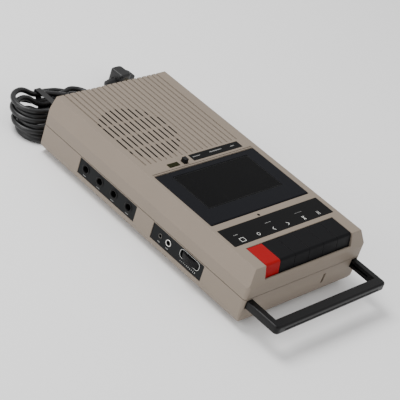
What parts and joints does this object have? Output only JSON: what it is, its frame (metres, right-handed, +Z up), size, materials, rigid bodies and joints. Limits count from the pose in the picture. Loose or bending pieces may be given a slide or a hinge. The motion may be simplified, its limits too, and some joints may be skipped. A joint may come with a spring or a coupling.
{
  "type": "portable cassette recorder",
  "caption": "Portable shoebox cassette recorder with piano keys, smoked cassette lid, slotted speaker grille, side jacks, sliding carry handle and bundled mains cord.",
  "frame": {"origin": "centre of the footprint at the surface the rubber feet rest on, with the handle drawn out and without the free cord", "axes": "+Y runs from the keys and handle to the rear, the longest way; +X to the right of a user who faces the keys; +Z up"},
  "size_m": [0.1691, 0.3746, 0.0609],
  "materials": {
    "case_plastic": "fine moulded texture",
    "black_plastic": "satin",
    "lid_plastic": "semi-gloss",
    "label_black": "printed, satin",
    "red_plastic": "satin",
    "smoked_window": "clear smoked",
    "counter_window": "tinted clear",
    "counter_white": "matt",
    "black_rubber": "matt",
    "cord_vinyl": "satin",
    "steel": "plated",
    "zinc": "turned",
    "brass_parts": "plated",
    "white_nylon": "matt",
    "socket_parts": "satin",
    "speaker_frame": "satin",
    "speaker_paper": "matt pulp",
    "board": "laminate",
    "transformer": "varnished laminations",
    "capsule": "satin"
  },
  "bodies": {
    "case": {"battery_contacts": "brass_parts", "bottom_case": "case_plastic", "case_screws": "steel", "chassis_plate": "steel", "circuit_board": "board", "control_label_plate": "label_black", "cord_hank": "cord_vinyl", "cord_strain_relief": "black_rubber", "cord_tie": "black_rubber", "counter_frame": "black_plastic", "counter_window": "counter_window", "drive_belt": "black_rubber", "headphone_jacks": "socket_parts", "key_shaft": "steel", "key_springs": "steel", "lid_hinge_pins": "steel", "mains_transformer": "transformer", "microphone_capsule": "capsule", "microphone_jack": "socket_parts", "motor": "steel", "plug_blades": "brass_parts", "plug_lead": "cord_vinyl", "power_cord": "cord_vinyl", "power_plug": "black_plastic", "rear_label_strip": "label_black", "remote_jack": "socket_parts", "rubber_feet": "black_rubber", "side_panel_front": "black_plastic", "side_panel_rear": "black_plastic", "speaker_basket": "speaker_frame", "speaker_cone": "speaker_paper", "top_case": "case_plastic", "volume_control_body": "socket_parts"},
    "lid": {"lid_frame": "lid_plastic", "lid_window": "smoked_window", "cassette_guide_left": "black_plastic", "cassette_guide_right": "black_plastic"},
    "handle": {"carry_handle": "black_plastic"},
    "volume_wheel": {"volume_wheel": "black_plastic"},
    "reset_button": {"counter_reset_button": "black_plastic"},
    "battery_door": {"battery_door": "case_plastic"},
    "capstan": {"capstan_shaft": "steel", "flywheel": "zinc"},
    "motor_pulley": {"motor_pulley": "brass_parts"},
    "supply_spindle": {"supply_spindle": "white_nylon"},
    "takeup_spindle": {"takeup_spindle": "white_nylon"},
    "pinch_arm": {"pinch_arm": "steel"},
    "pinch_roller": {"pinch_roller": "black_rubber"},
    "head_bridge": {"head_bridge": "steel", "record_play_head": "steel", "erase_head": "white_nylon"},
    "drum_units": {"counter_drum_units": "counter_white"},
    "drum_tens": {"counter_drum_tens": "counter_white"},
    "drum_hundreds": {"counter_drum_hundreds": "counter_white"},
    "record_key": {"record_key": "red_plastic"},
    "play_key": {"play_key": "black_plastic"},
    "rewind_key": {"rewind_key": "black_plastic"},
    "fast_forward_key": {"fast_forward_key": "black_plastic"},
    "stop_eject_key": {"stop_eject_key": "black_plastic"},
    "pause_key": {"pause_key": "black_plastic"}
  },
  "joints": [
    {"name": "record_key_press", "type": "hinge", "parent": "case", "child": "record_key", "pos_m": [0, -0.06575, 0.0466], "axis": [1, 0, 0], "range_deg": [0, 9], "stiffness_Nm_per_rad": 0.6, "springref_deg": -6.88},
    {"name": "play_key_press", "type": "hinge", "parent": "case", "child": "play_key", "pos_m": [0, -0.06575, 0.0466], "axis": [1, 0, 0], "range_deg": [0, 9], "stiffness_Nm_per_rad": 0.6, "springref_deg": -6.88},
    {"name": "rewind_key_press", "type": "hinge", "parent": "case", "child": "rewind_key", "pos_m": [0, -0.06575, 0.0466], "axis": [1, 0, 0], "range_deg": [0, 9], "stiffness_Nm_per_rad": 0.6, "springref_deg": -6.88},
    {"name": "fast_forward_key_press", "type": "hinge", "parent": "case", "child": "fast_forward_key", "pos_m": [0, -0.06575, 0.0466], "axis": [1, 0, 0], "range_deg": [0, 9], "stiffness_Nm_per_rad": 0.6, "springref_deg": -6.88},
    {"name": "stop_eject_key_press", "type": "hinge", "parent": "case", "child": "stop_eject_key", "pos_m": [0, -0.06575, 0.0466], "axis": [1, 0, 0], "range_deg": [0, 9], "stiffness_Nm_per_rad": 0.6, "springref_deg": -6.88},
    {"name": "pause_key_press", "type": "hinge", "parent": "case", "child": "pause_key", "pos_m": [0, -0.06575, 0.0466], "axis": [1, 0, 0], "range_deg": [0, 9], "stiffness_Nm_per_rad": 0.6, "springref_deg": -6.88},
    {"name": "lid_hinge", "type": "hinge", "parent": "case", "child": "lid", "pos_m": [0, -0.04835, 0.0547], "axis": [1, 0, 0], "range_deg": [0, 50]},
    {"name": "handle_slide", "type": "slide", "parent": "case", "child": "handle", "axis": [0, 1, 0], "range_m": [0, 0.0262]},
    {"name": "volume_turn", "type": "hinge", "parent": "case", "child": "volume_wheel", "pos_m": [-0.0606, -0.04835, 0.023], "axis": [0, 0, 1], "range_deg": [-135, 135]},
    {"name": "reset_press", "type": "slide", "parent": "case", "child": "reset_button", "axis": [0, 0, -1], "range_m": [0, 0.0025], "stiffness_N_per_m": 150, "springref_m": -0.003},
    {"name": "battery_door_hinge", "type": "hinge", "parent": "case", "child": "battery_door", "pos_m": [0.006, 0.09075, 0.0012], "axis": [1, 0, 0], "range_deg": [0, 100]},
    {"name": "capstan_spin", "type": "hinge", "parent": "case", "child": "capstan", "pos_m": [0.022, -0.04235, 0.02], "axis": [0, 0, 1], "continuous": true},
    {"name": "motor_spin", "type": "hinge", "parent": "case", "child": "motor_pulley", "pos_m": [-0.024, 0.00815, 0.01], "axis": [0, 0, 1], "continuous": true},
    {"name": "supply_spin", "type": "hinge", "parent": "case", "child": "supply_spindle", "pos_m": [-0.02255, -0.01435, 0.038], "axis": [0, 0, 1], "continuous": true},
    {"name": "takeup_spin", "type": "hinge", "parent": "case", "child": "takeup_spindle", "pos_m": [0.01995, -0.01435, 0.038], "axis": [0, 0, 1], "continuous": true},
    {"name": "pinch_arm_swing", "type": "hinge", "parent": "case", "child": "pinch_arm", "pos_m": [0.038, -0.05255, 0.038], "axis": [0, 0, 1], "range_deg": [-16.2, 0]},
    {"name": "pinch_roller_spin", "type": "hinge", "parent": "pinch_arm", "child": "pinch_roller", "pos_m": [0.02456, -0.0513, 0.043], "axis": [0, 0, 1], "continuous": true},
    {"name": "head_bridge_slide", "type": "slide", "parent": "case", "child": "head_bridge", "axis": [0, 1, 0], "range_m": [0, 0.0061]},
    {"name": "drum_hundreds_turn", "type": "hinge", "parent": "case", "child": "drum_hundreds", "pos_m": [-0.03645, 0.02855, 0.0486], "axis": [1, 0, 0], "continuous": true},
    {"name": "drum_tens_turn", "type": "hinge", "parent": "case", "child": "drum_tens", "pos_m": [-0.03275, 0.02855, 0.0486], "axis": [1, 0, 0], "continuous": true},
    {"name": "drum_units_turn", "type": "hinge", "parent": "case", "child": "drum_units", "pos_m": [-0.02905, 0.02855, 0.0486], "axis": [1, 0, 0], "continuous": true}
  ],
  "couplings": [
    {"joint": "motor_spin", "follows": "capstan_spin", "ratio": 7.5313},
    {"joint": "pinch_arm_swing", "follows": "play_key_press", "ratio": -1.7778},
    {"joint": "head_bridge_slide", "follows": "play_key_press", "m_per_rad": 0.0382},
    {"joint": "drum_units_turn", "follows": "takeup_spin", "ratio": 0.1},
    {"joint": "drum_tens_turn", "follows": "takeup_spin", "ratio": 0.01},
    {"joint": "drum_hundreds_turn", "follows": "takeup_spin", "ratio": 0.001}
  ]
}
